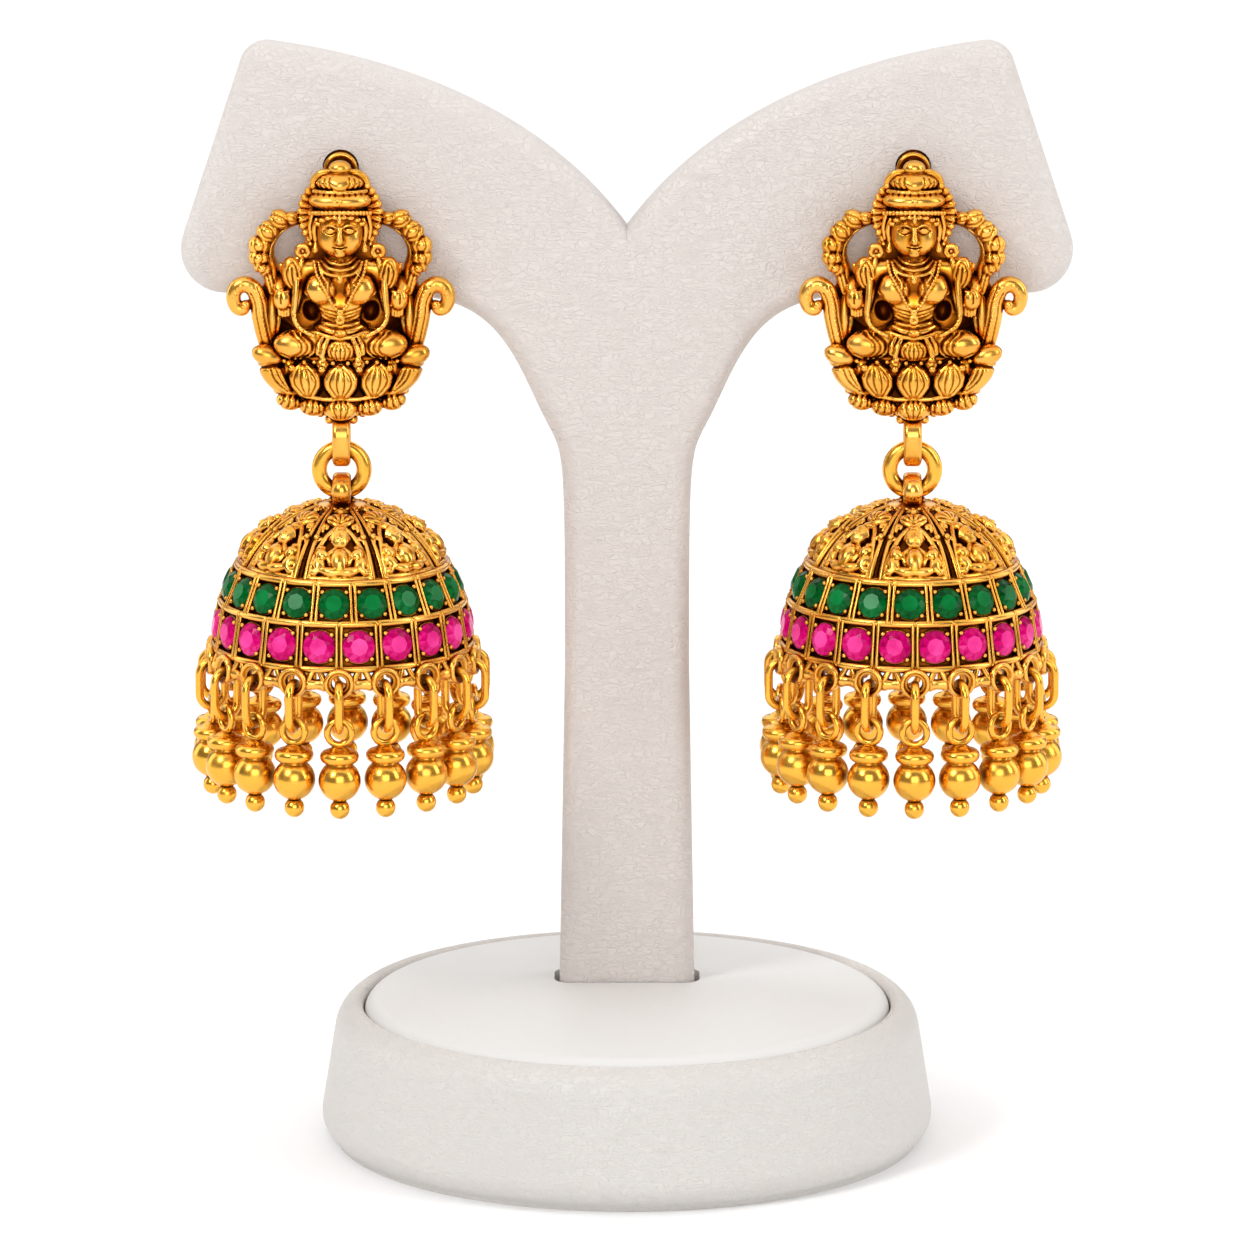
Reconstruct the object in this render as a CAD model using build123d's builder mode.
from build123d import *
import math
import os
from collections import namedtuple

# Pair of jhumka earrings on a display stand.  Millimetres.
# Origin: middle of the base's underside.  +X right, +Y to the back, +Z up.

os.makedirs("parts", exist_ok=True)

# ---------------------------------------------------------------- driving dimensions

# Display stand
BASE_R = 30.8  # widest radius of the base
BASE_RIM_R = 29.3  # radius where the side meets the rolled rim
BASE_TOP_Z = 14.2  # top of the rolled rim
BASE_SEAT_Z = 10.0  # floor that the pad sits on
BASE_FOOT_R = 29.4  # recessed foot
PAD_R = 26.5
PAD_EDGE_Z = 14.5  # top of the pad's rolled edge
PAD_CROWN_Z = 15.4  # middle of the pad
PAD_GAP = 0.15  # round the pad
BOARD_THICK = 6.0
BOARD_Y = 4.2  # middle plane of the upright
BOARD_ROUND = 1.7  # padded edge radius
FOOT_Z = 3.0  # bottom of the upright, in the base's pocket
SLOT_GAP = 0.3

# Earrings
EARRING_X = 28.4  # each side of the middle
EARRING_Y = -2.0  # plane that the loop, ring and bell hang in
BACK_Y = 2.2  # flat back of the stud, from that plane
PLATE_THICK = 1.2
EAR_HOLE_R = 1.8
EAR_HOLE_Z = 98.8

# Loop, jump ring and bail
RING_Z = 68.9
RING_MAJOR = 2.225
RING_WIRE_R = 0.775
LOOP_HOLE_R = 1.0  # of the stud's loop and the bell's bail, each round the ring's wire
LOOP_WIDE = 1.8
LOOP_BAND = 0.9
LOOP_ROUND = 0.43

# Bell: a spherical dome above two bands of stones
DOME_CENTRE_Z = 54.1
DOME_R = 11.35  # ground of the relief
RELIEF_R = 11.95  # top of the relief
HOLLOW_R = 10.7
RAIL_R = 0.42
Rail = namedtuple("Rail", "radius z")
TOP_RAIL = Rail(radius=10.45, z=59.4)
MIDDLE_RAIL = Rail(radius=12.1, z=55.7)
LOW_RAIL = Rail(radius=12.85, z=51.3)
SEAT_SET_BACK = 0.25  # seat band behind the line of its rails
SEAT_WALL = 1.35

# Cut stones
StoneRow = namedtuple("StoneRow", "count first_deg girdle_r upper lower")
GREEN_ROW = StoneRow(count=19, first_deg=-92.5, girdle_r=1.55, upper=TOP_RAIL, lower=MIDDLE_RAIL)
PINK_ROW = StoneRow(count=20, first_deg=-81.0, girdle_r=1.62, upper=MIDDLE_RAIL, lower=LOW_RAIL)
STONE_SIDES = 12
STONE_CROWN = 0.5
STONE_GIRDLE = 0.16
STONE_PAVILION = 1.0
STONE_TABLE = 0.56  # share of the girdle radius
STONE_CULET_R = 0.25
STONE_GAP = 0.05
BAR_WIDE = 0.46

# Fringe: eyelets, links and drops
DROPS = 18
FRINGE_R = 13.2
EYELET_Z = 50.0
EYELET_HOLE_R = 0.65
EYELET_R = 1.4
EYELET_DEEP = 1.0
LINK_WIRE_R = 0.42
LINK_INNER_R = 0.85
LINK_TOP = -0.55  # inner top of a link, from the eyelet's centre
LINK_BOTTOM = -4.35  # its inner bottom
EYE_Z = -5.0  # drop eye, from the eyelet's centre
EYE_MAJOR = 1.15
EYE_WIRE_R = 0.4
CAP_TOP_Z = -6.1
COLLAR_Z = -7.45
COLLAR_R = 1.9
BEAD_Z = -9.85
BEAD_R = 2.1
TIP_Z = -12.72
TIP_R = 1.0


# ---------------------------------------------------------------- helpers


def rounded(tall, wide):
    """About Z: a capsule, or a round-edged disc if wider than tall.  Both are half sizes."""
    with BuildPart() as body:
        with BuildSketch(Plane.XZ):
            if tall == wide:
                Circle(wide)
            elif tall > wide:
                SlotOverall(2 * tall, 2 * wide, rotation=90)
            else:
                SlotOverall(2 * wide, 2 * tall)
            Rectangle(
                2 * wide, 2 * tall, align=(Align.MAX, Align.CENTER), mode=Mode.SUBTRACT
            )
        revolve(axis=Axis.Z)
    return body.part


def facing_plane(radius, z, azimuth, rise=0.0):
    """A plane whose normal looks outward from the Z axis, turned up by `rise` degrees."""
    a, up = math.radians(azimuth), math.radians(rise)
    return Plane(
        origin=(radius * math.cos(a), radius * math.sin(a), z),
        x_dir=(-math.sin(a), math.cos(a), 0),
        z_dir=(math.cos(up) * math.cos(a), math.cos(up) * math.sin(a), math.sin(up)),
    )


def polar_angles(count, first_deg):
    return [first_deg + 360 / count * i for i in range(count)]


def export_pair(name, piece):
    """Writes the left and the right copy of an earring's piece."""
    for side, x in (("left", -EARRING_X), ("right", EARRING_X)):
        placed = piece.moved(Location((x, EARRING_Y, 0)))
        placed.label = f"{side}_{name}"
        export_step(placed, f"parts/{side}_{name}.step")


# ---------------------------------------------------------------- display stand

BOARD_PLANE = Plane.XZ.offset(-BOARD_Y)
FOOT_HALF = 7.05
SHAFT_HALF = 6.25
SLOT_LONG = 2 * (FOOT_HALF + SLOT_GAP)
SLOT_WIDE = BOARD_THICK + 2 * SLOT_GAP
SLOT_ROUND = BOARD_ROUND + SLOT_GAP

with BuildPart() as stand_base:
    with BuildSketch(Plane.XZ):
        with BuildLine():
            Line((0, 0), (BASE_FOOT_R, 0))
            Line((BASE_FOOT_R, 0), (BASE_FOOT_R + 0.2, 0.5))
            ThreePointArc((BASE_FOOT_R + 0.2, 0.5), (BASE_R - 0.35, 1.4), (BASE_R, 3.0))
            Line((BASE_R, 3.0), (BASE_RIM_R + 0.15, 11.6))
            ThreePointArc((BASE_RIM_R + 0.15, 11.6), (28.4, 13.6), (27.6, BASE_TOP_Z))
            ThreePointArc((27.6, BASE_TOP_Z), (26.95, 13.95), (PAD_R + PAD_GAP, 13.2))
            Line((PAD_R + PAD_GAP, 13.2), (PAD_R + PAD_GAP, BASE_SEAT_Z))
            Line((PAD_R + PAD_GAP, BASE_SEAT_Z), (0, BASE_SEAT_Z))
            Line((0, BASE_SEAT_Z), (0, 0))
        make_face()
    revolve(axis=Axis.Z)
    with BuildSketch(Plane.XY.offset(FOOT_Z)):
        with Locations((0, BOARD_Y)):
            RectangleRounded(SLOT_LONG, SLOT_WIDE, SLOT_ROUND)
    extrude(amount=BASE_SEAT_Z, mode=Mode.SUBTRACT)
stand_base.part.label = "stand_base"
export_step(stand_base.part, "parts/stand_base.step")

with BuildPart() as stand_pad:
    with BuildSketch(Plane.XZ):
        with BuildLine():
            Line((0, BASE_SEAT_Z), (PAD_R, BASE_SEAT_Z))
            Line((PAD_R, BASE_SEAT_Z), (PAD_R, 13.0))
            ThreePointArc((PAD_R, 13.0), (PAD_R - 0.5, 14.05), (PAD_R - 1.7, PAD_EDGE_Z))
            ThreePointArc((PAD_R - 1.7, PAD_EDGE_Z), (13.0, 15.18), (0, PAD_CROWN_Z))
            Line((0, PAD_CROWN_Z), (0, BASE_SEAT_Z))
        make_face()
    revolve(axis=Axis.Z)
    with BuildSketch(Plane.XY.offset(BASE_SEAT_Z)):
        with Locations((0, BOARD_Y)):
            RectangleRounded(SLOT_LONG, SLOT_WIDE, SLOT_ROUND)
    extrude(amount=10, mode=Mode.SUBTRACT)
stand_pad.part.label = "stand_pad"
export_step(stand_pad.part, "parts/stand_pad.step")

NOTCH = (0, 92.4)
TOP_CORNER = (37.7, 111.2)
SIDE_CORNER = (46.1, 86.0)
TOP_CORNER_ROUND = 2.8
SIDE_CORNER_ROUND = 4.4
with BuildPart() as stand_upright:
    with BuildSketch(BOARD_PLANE) as board_outline:
        with BuildLine():
            Spline(NOTCH, (10.4, 102.2), (22.3, 107.9), TOP_CORNER)
            Line(TOP_CORNER, SIDE_CORNER)
            Line(SIDE_CORNER, (22, 85.6))
            Spline(
                (22, 85.6),
                (12.5, 81.3),
                (8.6, 73.9),
                (SHAFT_HALF, 56),
                tangents=((-1, -0.017), (0, -1)),
            )
            Line((SHAFT_HALF, 56), (SHAFT_HALF, 48))
            Line((SHAFT_HALF, 48), (FOOT_HALF, FOOT_Z))
            Line((FOOT_HALF, FOOT_Z), (0, FOOT_Z))
            mirror(about=Plane.YZ)
        make_face()
        corners = board_outline.vertices()
        fillet(corners.sort_by(Axis.Y)[-2:], TOP_CORNER_ROUND)
        by_width = board_outline.vertices().sort_by(Axis.X)
        fillet([by_width[0], by_width[-1]], SIDE_CORNER_ROUND)
    extrude(amount=BOARD_THICK / 2, both=True)
    fillet(stand_upright.faces().filter_by(Axis.Y).edges(), BOARD_ROUND)
    with Locations(
        Plane(origin=(-EARRING_X, BOARD_Y, EAR_HOLE_Z), z_dir=(0, 1, 0)),
        Plane(origin=(EARRING_X, BOARD_Y, EAR_HOLE_Z), z_dir=(0, 1, 0)),
    ):
        Cylinder(EAR_HOLE_R, 2 * BOARD_THICK, mode=Mode.SUBTRACT)
stand_upright.part.label = "stand_upright"
export_step(stand_upright.part, "parts/stand_upright.step")

# ---------------------------------------------------------------- jump ring

FACING = Plane(origin=(0, 0, RING_Z), x_dir=(1, 0, 0), z_dir=(0, -1, 0))

with BuildPart(FACING) as jump_ring:
    Torus(RING_MAJOR, RING_WIRE_R)
jump_ring.part.label = "jump_ring"
export_pair("jump_ring", jump_ring.part)

# ---------------------------------------------------------------- cut stones


def row_rise(row):
    """How far, in degrees, the row's settings look upward."""
    return math.degrees(
        math.atan2(row.lower.radius - row.upper.radius, row.upper.z - row.lower.z)
    )


def band_point(row, share, out):
    """A point (radius, z) of a row: `share` of the way down, `out` beyond its rails' line."""
    rise = math.radians(row_rise(row))
    radius = row.upper.radius + share * (row.lower.radius - row.upper.radius)
    z = row.upper.z + share * (row.lower.z - row.upper.z)
    return (radius + out * math.cos(rise), z + out * math.sin(rise))


def row_planes(row, first_deg, out):
    """A plane halfway down the row at each of its places, `out` beyond its rails' line."""
    radius, z = band_point(row, 0.5, out)
    angles = polar_angles(row.count, first_deg)
    return [facing_plane(radius, z, a, row_rise(row)) for a in angles]


def cut_stone(girdle_r):
    """A round stone with a table, crown facets, girdle and pavilion; girdle's foot on XY."""
    crown_z = STONE_GIRDLE + STONE_CROWN
    with BuildPart() as stone:
        with BuildSketch(Plane.XY.offset(-STONE_PAVILION)):
            RegularPolygon(STONE_CULET_R, STONE_SIDES)
        with BuildSketch(Plane.XY):
            RegularPolygon(girdle_r, STONE_SIDES)
        loft()
        with BuildSketch(Plane.XY):
            RegularPolygon(girdle_r, STONE_SIDES)
        extrude(amount=STONE_GIRDLE)
        with BuildSketch(Plane.XY.offset(STONE_GIRDLE)):
            RegularPolygon(girdle_r, STONE_SIDES)
        with BuildSketch(Plane.XY.offset(crown_z)):
            RegularPolygon(girdle_r * STONE_TABLE, STONE_SIDES)
        loft()
    return stone.part


for row_name, row in (("green_stones", GREEN_ROW), ("pink_stones", PINK_ROW)):
    stone = cut_stone(row.girdle_r)
    with BuildPart() as stones:
        with Locations(*row_planes(row, row.first_deg, STONE_GAP - SEAT_SET_BACK)):
            add(stone)
    stones.part.label = row_name
    export_pair(row_name, stones.part)

# ---------------------------------------------------------------- fringe

fringe_angles = polar_angles(DROPS, -90)
eyelet_planes = [facing_plane(FRINGE_R, EYELET_Z, a) for a in fringe_angles]
fringe_places = [
    Location(plane.origin, (0, 0, a)) for plane, a in zip(eyelet_planes, fringe_angles)
]

with BuildPart() as eyelet:
    with BuildSketch(Plane.XZ):
        with Locations(((EYELET_HOLE_R + EYELET_R) / 2, 0)):
            RectangleRounded(EYELET_R - EYELET_HOLE_R, EYELET_DEEP, 0.3)
    revolve(axis=Axis.Z)

# A link hangs in the plane of X and Z, X pointing outward
LINK_MAJOR = LINK_INNER_R + LINK_WIRE_R
link_top_z = LINK_TOP - LINK_INNER_R
link_low_z = LINK_BOTTOM + LINK_INNER_R
with BuildPart() as link:
    with BuildSketch(Plane.XY.offset(link_low_z)):
        with Locations((LINK_MAJOR, 0), (-LINK_MAJOR, 0)):
            Circle(LINK_WIRE_R)
    extrude(amount=link_top_z - link_low_z)
    for bend_z, turning in ((link_top_z, -1), (link_low_z, 1)):
        with BuildSketch(Plane.XY.offset(bend_z)):
            with Locations((LINK_MAJOR, 0)):
                Circle(LINK_WIRE_R)
        revolve(axis=Axis((0, 0, bend_z), (0, turning, 0)), revolution_arc=180)

with BuildPart() as drop_links:
    with Locations(*fringe_places):
        add(link.part)
drop_links.part.label = "drop_links"
export_pair("drop_links", drop_links.part)

CAP_R = 0.62
THROAT_R = 1.15
with BuildPart() as drop:
    with BuildSketch(Plane.XZ):
        with BuildLine():
            cap_edge = (CAP_R, CAP_TOP_Z)
            cap_waist = (1.0, -6.75)
            collar_upper = (COLLAR_R - 0.2, COLLAR_Z + 0.36)
            collar_lower = (1.45, COLLAR_Z - 0.42)
            throat = (THROAT_R, COLLAR_Z - 0.64)
            Polyline((0, BEAD_Z), (0, CAP_TOP_Z), cap_edge)
            ThreePointArc(cap_edge, cap_waist, collar_upper)
            ThreePointArc(collar_upper, (COLLAR_R, COLLAR_Z), collar_lower)
            Polyline(collar_lower, throat, (THROAT_R, BEAD_Z), (0, BEAD_Z))
        make_face()
    revolve(axis=Axis.Z)
    with Locations((0, 0, BEAD_Z)):
        Sphere(BEAD_R)
    with Locations((0, 0, TIP_Z)):
        Sphere(TIP_R)
    with Locations(Plane(origin=(0, 0, EYE_Z), z_dir=(1, 0, 0))):
        Torus(EYE_MAJOR, EYE_WIRE_R)

for number, place in enumerate(fringe_places, start=1):
    export_pair(f"drop_{number:02d}", drop.part.moved(place))

# ---------------------------------------------------------------- bell

# Raised work of one dome panel, as balls on the dome: a seated figure under a fan
PanelBall = namedtuple("PanelBall", "part from_top_deg aside_mm radius")
PANEL = [
    PanelBall("fan", 24, 0.0, 0.9),
    PanelBall("head", 37, 0.0, 0.8),
    PanelBall("body", 48, 0.0, 1.05),
    PanelBall("hand", 43, 1.5, 0.6),
    PanelBall("knee", 55, 1.5, 0.85),
    PanelBall("scroll", 49, 2.9, 0.65),
    PanelBall("foot", 58, 0.0, 0.5),
]
PANELS = 8
RIB_WIRE_R = 0.28
RIB_R = 11.5
RIB_APART_DEG = 2.6  # each rib of a pair, from the panel's edge
RIB_FROM_DEG = 12
RIB_TO_DEG = 62
BAIL_Z = RING_Z - RING_MAJOR
CAP_WIDE_R = 2.5
CAP_FOOT_Z = 64.0
CAP_HIGH_Z = 65.7
BAR_DEEP = 0.7


def panel_places(ball):
    """Where a panel's ball stands in all panels, sunk so that it ends at the relief's top."""
    down = math.radians(ball.from_top_deg)
    shell = RELIEF_R - ball.radius
    radius, z = shell * math.sin(down), DOME_CENTRE_Z + shell * math.cos(down)
    turn = math.degrees(math.atan2(ball.aside_mm, radius))
    sides = (-1, 1) if ball.aside_mm else (1,)
    middles = polar_angles(PANELS, -90)
    return [facing_plane(radius, z, a + side * turn) for a in middles for side in sides]


with BuildPart() as rib:
    start = math.radians(RIB_FROM_DEG)
    rib_start = Plane(
        origin=(RIB_R * math.sin(start), 0, DOME_CENTRE_Z + RIB_R * math.cos(start)),
        x_dir=(0, 1, 0),
        z_dir=(math.cos(start), 0, -math.sin(start)),
    )
    with BuildSketch(rib_start):
        Circle(RIB_WIRE_R)
    revolve(
        axis=Axis((0, 0, DOME_CENTRE_Z), (0, 1, 0)),
        revolution_arc=RIB_TO_DEG - RIB_FROM_DEG,
    )

with BuildPart() as eyelet_ring:
    with BuildSketch(Plane.XZ):
        with Locations((FRINGE_R, EYELET_Z - 0.05)):
            Rectangle(0.5, 0.9)
    revolve(axis=Axis.Z)
    with Locations(*eyelet_planes):
        Cylinder(EYELET_R - 0.2, 3, mode=Mode.SUBTRACT)
        add(eyelet.part)

with BuildPart() as bail:
    with BuildSketch(Plane(origin=(0, 0, BAIL_Z), x_dir=(0, 1, 0), z_dir=(1, 0, 0))):
        Circle(LOOP_HOLE_R + LOOP_BAND)
        Circle(LOOP_HOLE_R, mode=Mode.SUBTRACT)
    extrude(amount=LOOP_WIDE / 2, both=True)
    fillet(bail.edges().filter_by(GeomType.CIRCLE), LOOP_ROUND)

with BuildPart() as bell:
    # Domed shell and its two seat bands, solid inside for now, with the rails
    with BuildSketch(Plane.XZ):
        with BuildLine():
            brim_r = math.sqrt(DOME_R**2 - (TOP_RAIL.z - DOME_CENTRE_Z) ** 2)
            half_way = math.atan2(brim_r, TOP_RAIL.z - DOME_CENTRE_Z) / 2
            dome_mid = (
                DOME_R * math.sin(half_way),
                DOME_CENTRE_Z + DOME_R * math.cos(half_way),
            )
            ThreePointArc((0, DOME_CENTRE_Z + DOME_R), dome_mid, (brim_r, TOP_RAIL.z))
            Polyline(
                (brim_r, TOP_RAIL.z),
                band_point(GREEN_ROW, 0, -SEAT_SET_BACK),
                band_point(GREEN_ROW, 1, -SEAT_SET_BACK),
                band_point(PINK_ROW, 1, -SEAT_SET_BACK),
                (0, band_point(PINK_ROW, 1, -SEAT_SET_BACK)[1]),
                (0, DOME_CENTRE_Z + DOME_R),
            )
        make_face()
        for rail in (TOP_RAIL, MIDDLE_RAIL, LOW_RAIL):
            with Locations((rail.radius, rail.z)):
                Circle(RAIL_R)
    revolve(axis=Axis.Z)
    # Cap under the bail
    with BuildSketch(Plane.XZ):
        with BuildLine():
            shoulder, brow = (CAP_WIDE_R, CAP_HIGH_Z - 0.3), (CAP_WIDE_R - 0.8, CAP_HIGH_Z)
            Polyline((0, CAP_FOOT_Z), (CAP_WIDE_R, CAP_FOOT_Z), shoulder)
            ThreePointArc(shoulder, (CAP_WIDE_R - 0.2, CAP_HIGH_Z - 0.05), brow)
            Polyline(brow, (0, CAP_HIGH_Z), (0, CAP_FOOT_Z))
        make_face()
    revolve(axis=Axis.Z)
    # Relief and ribs of the dome
    for ball in PANEL:
        with Locations(*panel_places(ball)):
            Sphere(ball.radius)
    for azimuth in polar_angles(PANELS, -90 + 180 / PANELS):
        for side in (-RIB_APART_DEG, RIB_APART_DEG):
            with Locations(Location((0, 0, 0), (0, 0, azimuth + side))):
                add(rib.part)
    # Bars between the stones
    for row in (GREEN_ROW, PINK_ROW):
        rail_gap = math.hypot(
            row.lower.radius - row.upper.radius, row.upper.z - row.lower.z
        )
        with Locations(*row_planes(row, row.first_deg + 180 / row.count, 0)):
            Box(BAR_WIDE, rail_gap, BAR_DEEP)
    # Hollow inside
    with BuildSketch(Plane.XZ):
        with BuildLine():
            inner = [
                band_point(PINK_ROW, 1, -SEAT_SET_BACK - SEAT_WALL),
                band_point(PINK_ROW, 0, -SEAT_SET_BACK - SEAT_WALL),
                band_point(GREEN_ROW, 0, -SEAT_SET_BACK - SEAT_WALL),
            ]
            lip_r, lip_z = inner[0][0], EYELET_Z
            brim_r = inner[-1][0]
            brim_z = DOME_CENTRE_Z + math.sqrt(HOLLOW_R**2 - brim_r**2)
            half_way = math.atan2(brim_r, brim_z - DOME_CENTRE_Z) / 2
            hollow_mid = (
                HOLLOW_R * math.sin(half_way),
                DOME_CENTRE_Z + HOLLOW_R * math.cos(half_way),
            )
            Polyline((0, lip_z), (lip_r, lip_z), *inner, (brim_r, brim_z))
            ThreePointArc((brim_r, brim_z), hollow_mid, (0, DOME_CENTRE_Z + HOLLOW_R))
            Line((0, DOME_CENTRE_Z + HOLLOW_R), (0, lip_z))
        make_face()
    revolve(axis=Axis.Z, mode=Mode.SUBTRACT)
    # Pockets under the stones
    for row in (GREEN_ROW, PINK_ROW):
        out = STONE_GAP - SEAT_SET_BACK
        with Locations(*row_planes(row, row.first_deg, out)):
            Cone(
                bottom_radius=STONE_CULET_R + STONE_GAP,
                top_radius=row.girdle_r + STONE_GAP,
                height=STONE_PAVILION + STONE_GAP,
                align=(Align.CENTER, Align.CENTER, Align.MAX),
                mode=Mode.SUBTRACT,
            )
    add(eyelet_ring.part)
    add(bail.part)
bell.part.label = "bell"
export_pair("bell", bell.part)

# ---------------------------------------------------------------- ear hook

ARCH_Y = 2.85  # plane of the wire arch, in the mouth of the ear hole
ARCH_MAJOR = 1.42
ARCH_WIRE_R = 0.28
ARCH_Z = 98.7
FOOT_BAR_Z = 97.4
PIN_Z = 98.0
PIN_R = 0.45
PIN_END_Y = 12.6
CLUTCH_FROM_Y = 9.5
CLUTCH_R = 2.5

with BuildPart() as ear_hook:
    # Arch, its two legs and the bar at their feet
    with BuildSketch(Plane.XY.offset(ARCH_Z)):
        with Locations((ARCH_MAJOR, ARCH_Y)):
            Circle(ARCH_WIRE_R)
    revolve(axis=Axis((0, ARCH_Y, ARCH_Z), (0, -1, 0)), revolution_arc=180)
    for x in (-ARCH_MAJOR, ARCH_MAJOR):
        with BuildSketch(Plane.XY.offset(FOOT_BAR_Z)):
            with Locations((x, ARCH_Y)):
                Circle(ARCH_WIRE_R)
        extrude(amount=ARCH_Z - FOOT_BAR_Z)
    with BuildSketch(Plane.YZ.offset(-ARCH_MAJOR)):
        with Locations((ARCH_Y, FOOT_BAR_Z)):
            Circle(ARCH_WIRE_R)
    extrude(amount=2 * ARCH_MAJOR)
    # Pin through the board, its root and the clutch behind
    with BuildSketch(Plane.XZ.offset(-BACK_Y)):
        with Locations((0, PIN_Z)):
            Circle(PIN_R)
    extrude(amount=BACK_Y - PIN_END_Y)
    with BuildSketch(Plane.XZ.offset(-BACK_Y)):
        with Locations((0, PIN_Z)):
            Circle(2 * PIN_R)
    extrude(amount=-0.5)
    with BuildSketch(Plane.YZ):
        with BuildLine():
            pin_line = PIN_Z
            Polyline(
                (CLUTCH_FROM_Y, pin_line),
                (CLUTCH_FROM_Y, pin_line + CLUTCH_R),
                (CLUTCH_FROM_Y + 0.7, pin_line + CLUTCH_R),
            )
            ThreePointArc(
                (CLUTCH_FROM_Y + 0.7, pin_line + CLUTCH_R),
                (CLUTCH_FROM_Y + 1.3, pin_line + 1.5),
                (CLUTCH_FROM_Y + 2.4, pin_line + 1.2),
            )
            Polyline(
                (CLUTCH_FROM_Y + 2.4, pin_line + 1.2),
                (CLUTCH_FROM_Y + 2.4, pin_line),
                (CLUTCH_FROM_Y, pin_line),
            )
        make_face()
    revolve(axis=Axis((0, 0, PIN_Z), (0, 1, 0)))
ear_hook.part.label = "ear_hook"
export_pair("ear_hook", ear_hook.part)

# ---------------------------------------------------------------- stud

# Half of the back plate's outline, from the lowest lobe up to the crown
PLATE_OUTLINE = [
    (0, 73.9),
    (1.6, 74.0),
    (4.2, 74.9),
    (6.2, 75.4),
    (6.6, 76.9),
    (8.0, 79.0),
    (8.6, 80.6),
    (7.7, 82.2),
    (8.3, 86.4),
    (8.1, 88.2),
    (8.6, 90.0),
    (8.2, 92.0),
    (6.9, 93.6),
    (5.4, 94.5),
    (4.0, 94.9),
    (3.2, 97.0),
    (1.6, 98.9),
    (0, 99.4),
]
# Pierced window between the garland and the halo, on each side
WINDOW = [(4.2, 89.6), (6.1, 89.3), (6.7, 90.4), (6.5, 91.9), (5.3, 92.8), (4.5, 92.2)]
# Recess beside the waist, on each side
RECESS_X, RECESS_Z = 2.95, 84.5
RECESS_WIDE, RECESS_TALL = 1.4, 2.1
RECESS_FLOOR_Y = 1.3

HALO_Z = 94.2
HALO_R = 3.9
RAY_R = 3.55
RAY_Y = 0.7
RAY_STEP_DEG = 12.9
RAYS_A_SIDE = 8
RAY_FIRST_DEG = 39

# Rounded masses of the figure and its lotus.  `tall` is half the length along the mass's own
# axis, `wide` its radius; `lean` turns that axis from upright towards +X, in degrees.
# Those with x above zero are made on both sides.
Mass = namedtuple("Mass", "part x y z tall wide lean")
MASSES = [
    Mass("crown knob", 0, 0.9, 98.85, 0.8, 1.2, 0),
    Mass("crown upper tier", 0, 1.3, 97.75, 0.8, 2.9, 0),
    Mass("crown lower tier", 0, 1.2, 96.0, 0.95, 3.1, 0),
    Mass("tiara", 0, 1.0, 94.45, 0.5, 2.8, 0),
    Mass("head", 0, 0.3, 92.4, 2.35, 2.15, 0),
    Mass("ear", 2.45, 0.6, 92.1, 0.95, 0.5, 0),
    Mass("ear drop", 2.6, 0.3, 90.9, 0.5, 0.5, 0),
    Mass("hair scroll", 3.8, 0.75, 90.75, 0.62, 0.62, 0),
    Mass("neck", 0, 0.8, 89.9, 1.5, 1.15, 0),
    Mass("shoulder", 2.45, 0.85, 88.2, 1.75, 1.0, -62),
    Mass("torso", 0, 0.75, 86.5, 3.2, 2.2, 0),
    Mass("breast", 1.4, -0.35, 86.85, 1.3, 1.3, 0),
    Mass("hips", 0, 0.65, 83.35, 2.75, 1.25, 90),
    Mass("belt", 0, 0.25, 82.45, 2.2, 0.75, 90),
    Mass("upper arm", 4.15, 0.8, 86.95, 1.75, 0.8, -33),
    Mass("outer arm", 5.85, 0.85, 86.4, 2.1, 0.8, -7),
    Mass("forearm", 5.0, 0.3, 84.3, 1.6, 0.66, -15),
    Mass("raised hand and bud", 4.65, -0.05, 88.05, 1.45, 0.55, 5),
    Mass("garland cord", 3.9, -0.15, 85.75, 2.4, 0.38, 3),
    Mass("knee", 5.1, 0.0, 81.85, 2.3, 1.6, 97),
    Mass("crossed foot", 2.35, -0.2, 81.15, 1.6, 0.85, 72),
    Mass("cloth fold", 0, -0.5, 80.85, 1.4, 1.45, 0),
    Mass("sash end", 2.0, -0.75, 80.75, 1.1, 0.38, 0),
    Mass("garland stem", 7.05, 0.95, 88.15, 1.2, 0.55, 15),
    Mass("volute stem", 7.9, 0.55, 84.85, 3.6, 0.78, 12),
    Mass("lotus body", 0, 1.4, 79.3, 7.2, 1.9, 90),
    Mass("rolled leaf", 7.6, 0.7, 80.5, 1.15, 1.2, 0),
    Mass("outer petal", 6.45, 0.3, 78.65, 2.3, 0.95, 38),
    Mass("flank petal", 3.4, -0.3, 77.7, 1.7, 1.3, 8),
    Mass("front petal", 0, -0.6, 77.7, 1.9, 1.55, 0),
    Mass("inner bead", 1.8, -0.75, 79.05, 0.36, 0.36, 0),
    Mass("outer bead", 5.0, -0.45, 79.15, 0.36, 0.36, 0),
    Mass("rim", 0, 0.95, 76.4, 6.5, 0.7, 90),
    Mass("side lobe", 5.3, 0.8, 75.75, 0.8, 0.9, 0),
    Mass("inner lobe", 3.05, 0.65, 75.4, 0.9, 1.0, 0),
    Mass("middle lobe", 0, 0.2, 75.0, 1.7, 1.7, 0),
    Mass("lowest bead", 1.3, 0.55, 73.95, 0.4, 0.4, 0),
]
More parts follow.
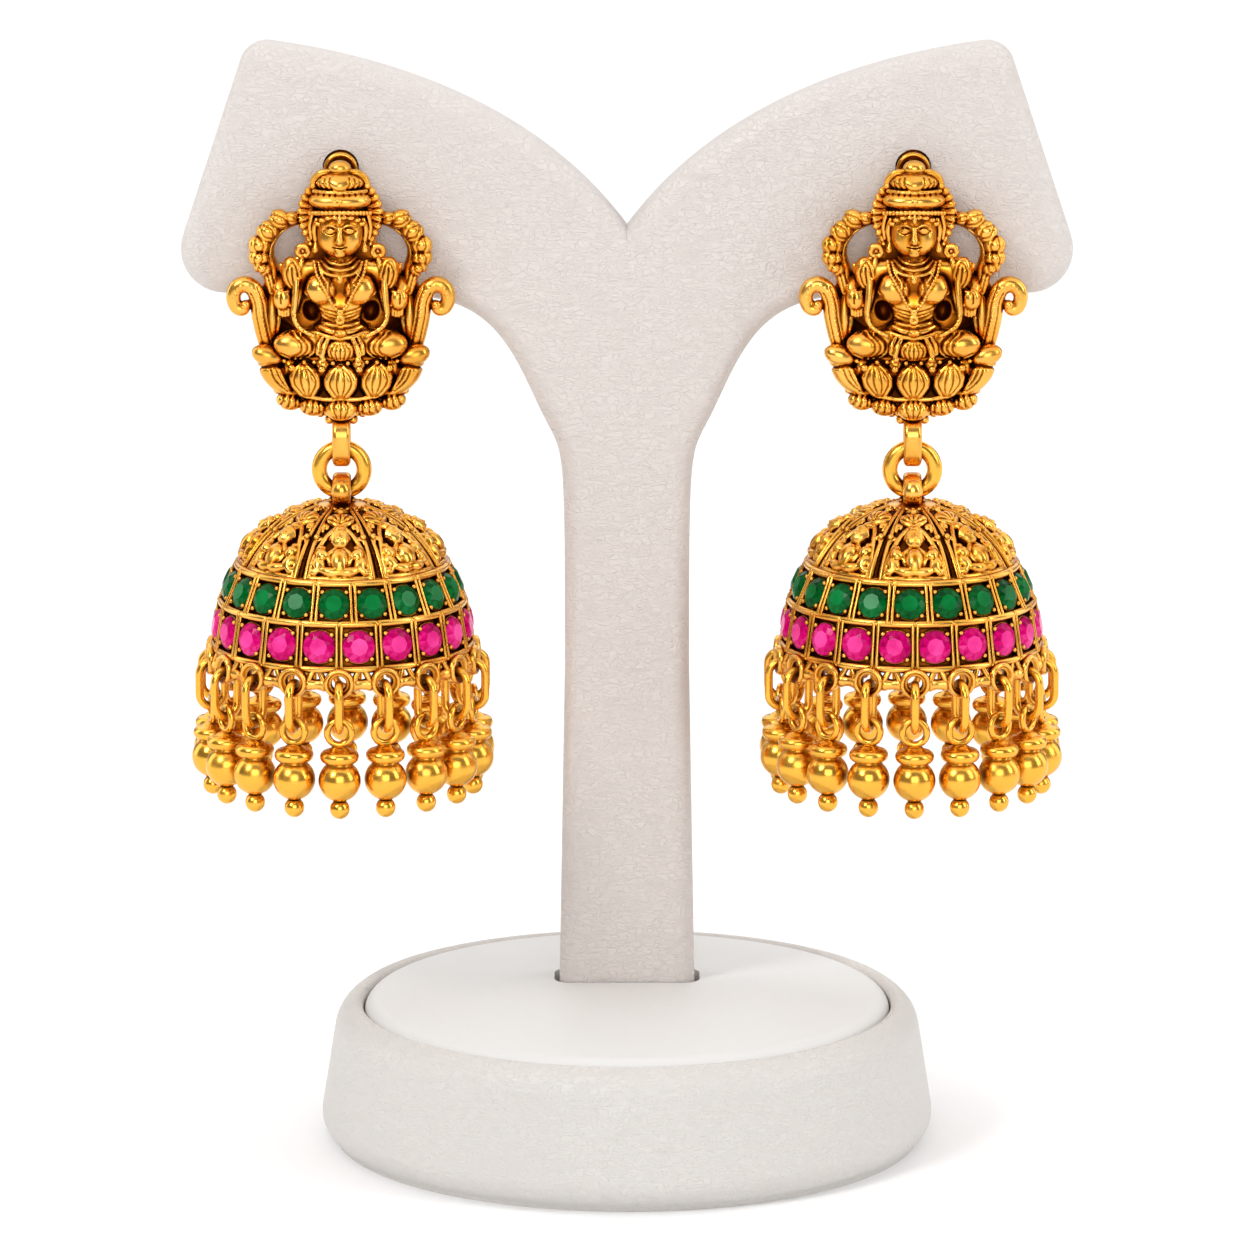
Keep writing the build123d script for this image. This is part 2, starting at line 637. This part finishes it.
# Balls of the garland arch, from the halo down, on both sides
GarlandBall = namedtuple("GarlandBall", "x z radius")
GARLAND = [
    GarlandBall(4.6, 94.3, 0.55),
    GarlandBall(5.4, 94.2, 0.7),
    GarlandBall(6.4, 94.0, 0.75),
    GarlandBall(7.35, 92.9, 0.88),
    GarlandBall(8.4, 91.5, 0.82),
    GarlandBall(8.45, 90.0, 0.8),
    GarlandBall(7.9, 88.9, 0.62),
]
GARLAND_Y = 0.8
VOLUTE_X, VOLUTE_Z = 9.9, 86.2
VOLUTE_R = 1.85
VOLUTE_HOLE_R = 0.45
VOLUTE_DEEP = 1.6
VOLUTE_ROUND = 0.4
VOLUTE_Y = 0.75
LOOP_Z = RING_Z + RING_MAJOR
LOOP_TOP_Z = 72.3



def mirrored_places(x, y, z, lean):
    """One place in the middle, or one on each side with the lean mirrored."""
    sides = (-1, 1) if x else (1,)
    return [Location((side * x, y, z), (0, side * lean, 0)) for side in sides]


ray_leans = [RAY_FIRST_DEG + i * RAY_STEP_DEG for i in range(RAYS_A_SIDE)]
ray = rounded(1.0, 0.4)

with BuildPart(Plane.XZ) as volute:
    Cylinder(VOLUTE_R, VOLUTE_DEEP)
    chamfer(volute.edges().filter_by(GeomType.CIRCLE), VOLUTE_ROUND)
    Cylinder(VOLUTE_HOLE_R, VOLUTE_DEEP, mode=Mode.SUBTRACT)

with BuildPart() as lower_loop:
    with BuildSketch(Plane.YZ):
        with Locations((0, (LOOP_Z + LOOP_TOP_Z) / 2)):
            SlotCenterToCenter(LOOP_TOP_Z - LOOP_Z, 2 * (LOOP_HOLE_R + LOOP_BAND), rotation=90)
        with Locations((0, LOOP_Z)):
            Circle(LOOP_HOLE_R, mode=Mode.SUBTRACT)
    extrude(amount=LOOP_WIDE / 2, both=True)
    fillet(lower_loop.edges().filter_by(GeomType.CIRCLE), LOOP_ROUND)

with BuildPart() as stud:
    with BuildSketch(Plane.XZ.offset(-BACK_Y)):
        with BuildLine():
            Polyline(*PLATE_OUTLINE)
            mirror(about=Plane.YZ)
        make_face()
        with Locations((0, HALO_Z)):
            Circle(HALO_R)
    extrude(amount=PLATE_THICK)
    for side in (-1, 1):
        with Locations((side * VOLUTE_X, VOLUTE_Y, VOLUTE_Z)):
            add(volute.part)
    for lean in ray_leans:
        out = math.radians(lean)
        x, z = RAY_R * math.sin(out), HALO_Z + RAY_R * math.cos(out)
        with Locations(*mirrored_places(x, RAY_Y, z, lean)):
            add(ray)
    for mass in MASSES:
        with Locations(*mirrored_places(mass.x, mass.y, mass.z, mass.lean)):
            add(rounded(mass.tall, mass.wide))
    for ball in GARLAND:
        with Locations(*mirrored_places(ball.x, GARLAND_Y, ball.z, 0)):
            Sphere(ball.radius)
    add(lower_loop.part)
    # Windows right through, recesses beside the waist, and a flat back
    for side in (-1, 1):
        with BuildSketch(Plane.XZ.offset(-BACK_Y)):
            with BuildLine():
                Polyline(*[(side * x, z) for x, z in WINDOW], close=True)
            make_face()
        extrude(amount=10, both=True, mode=Mode.SUBTRACT)
        with BuildSketch(Plane.XZ.offset(-RECESS_FLOOR_Y)):
            with Locations((side * RECESS_X, RECESS_Z)):
                Ellipse(RECESS_WIDE / 2, RECESS_TALL / 2)
        extrude(amount=10, mode=Mode.SUBTRACT)
    with Locations((0, BACK_Y, 0)):
        Box(40, 20, 300, align=(Align.CENTER, Align.MIN, Align.CENTER), mode=Mode.SUBTRACT)
stud.part.label = "stud"
export_pair("stud", stud.part)
